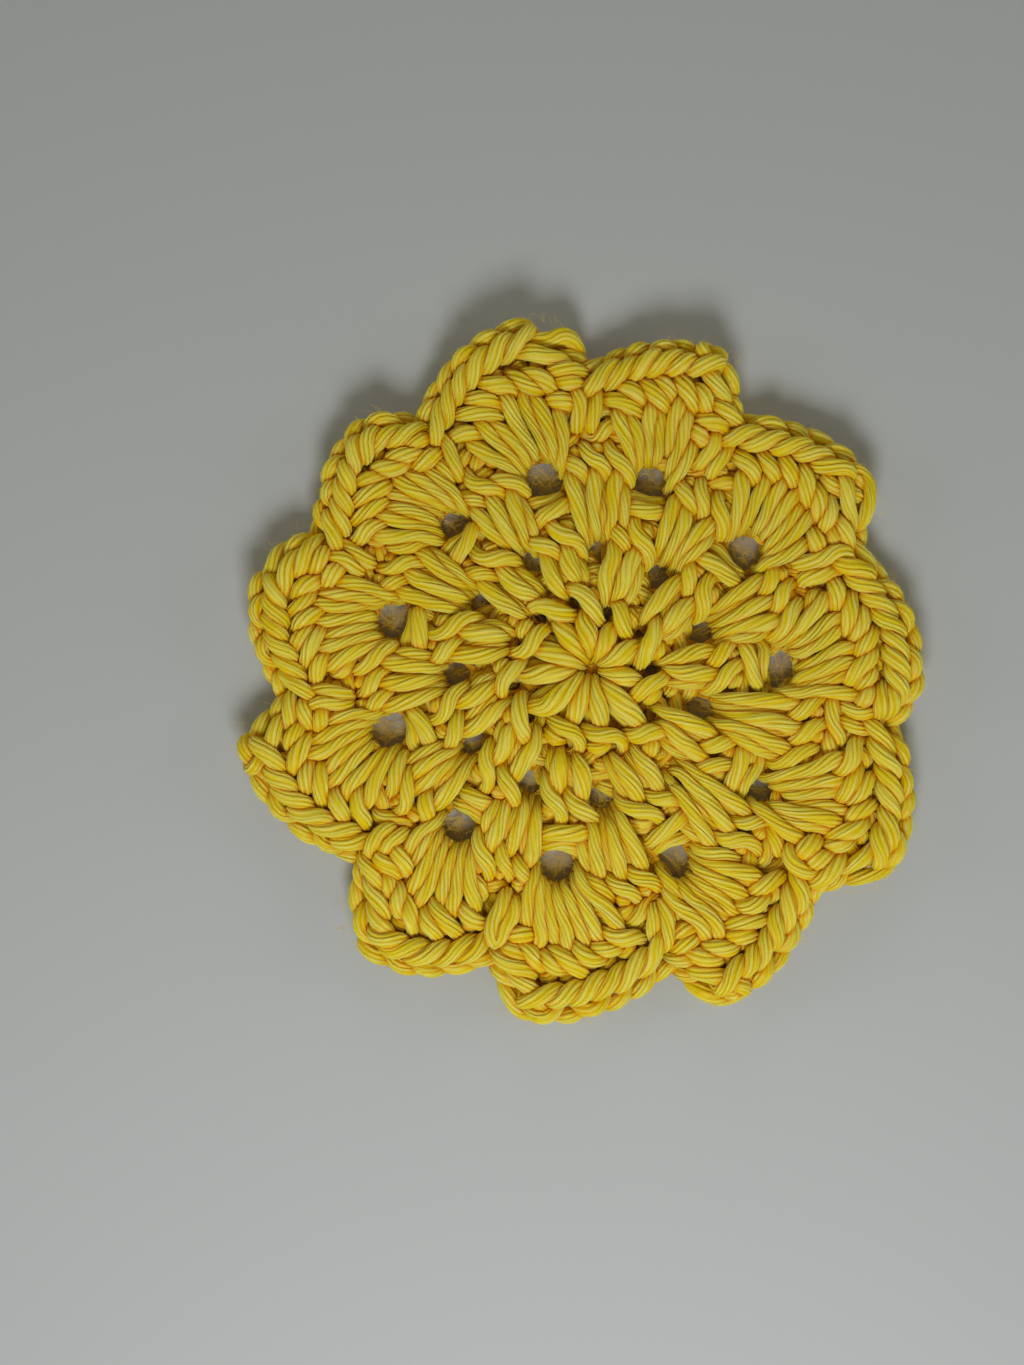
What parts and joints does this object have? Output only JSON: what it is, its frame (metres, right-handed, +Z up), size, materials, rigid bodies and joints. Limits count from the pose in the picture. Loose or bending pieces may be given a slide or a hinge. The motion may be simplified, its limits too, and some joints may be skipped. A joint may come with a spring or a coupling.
{
  "type": "crochet coaster",
  "caption": "Round crocheted cotton coaster shaped as an openwork flower, with scalloped petals that cup up at the rim and a flat underside.",
  "frame": {"origin": "middle of the starting ring, on the surface that the coaster rests on", "axes": "+Z up out of the right side of the fabric; +X and +Y across the coaster, +Y to the top of the reference view"},
  "size_m": [0.1059, 0.1089, 0.0097],
  "materials": {
    "cotton_yarn": "matte plied cotton"
  },
  "bodies": {
    "root": {"coaster": "cotton_yarn"}
  },
  "joints": []
}
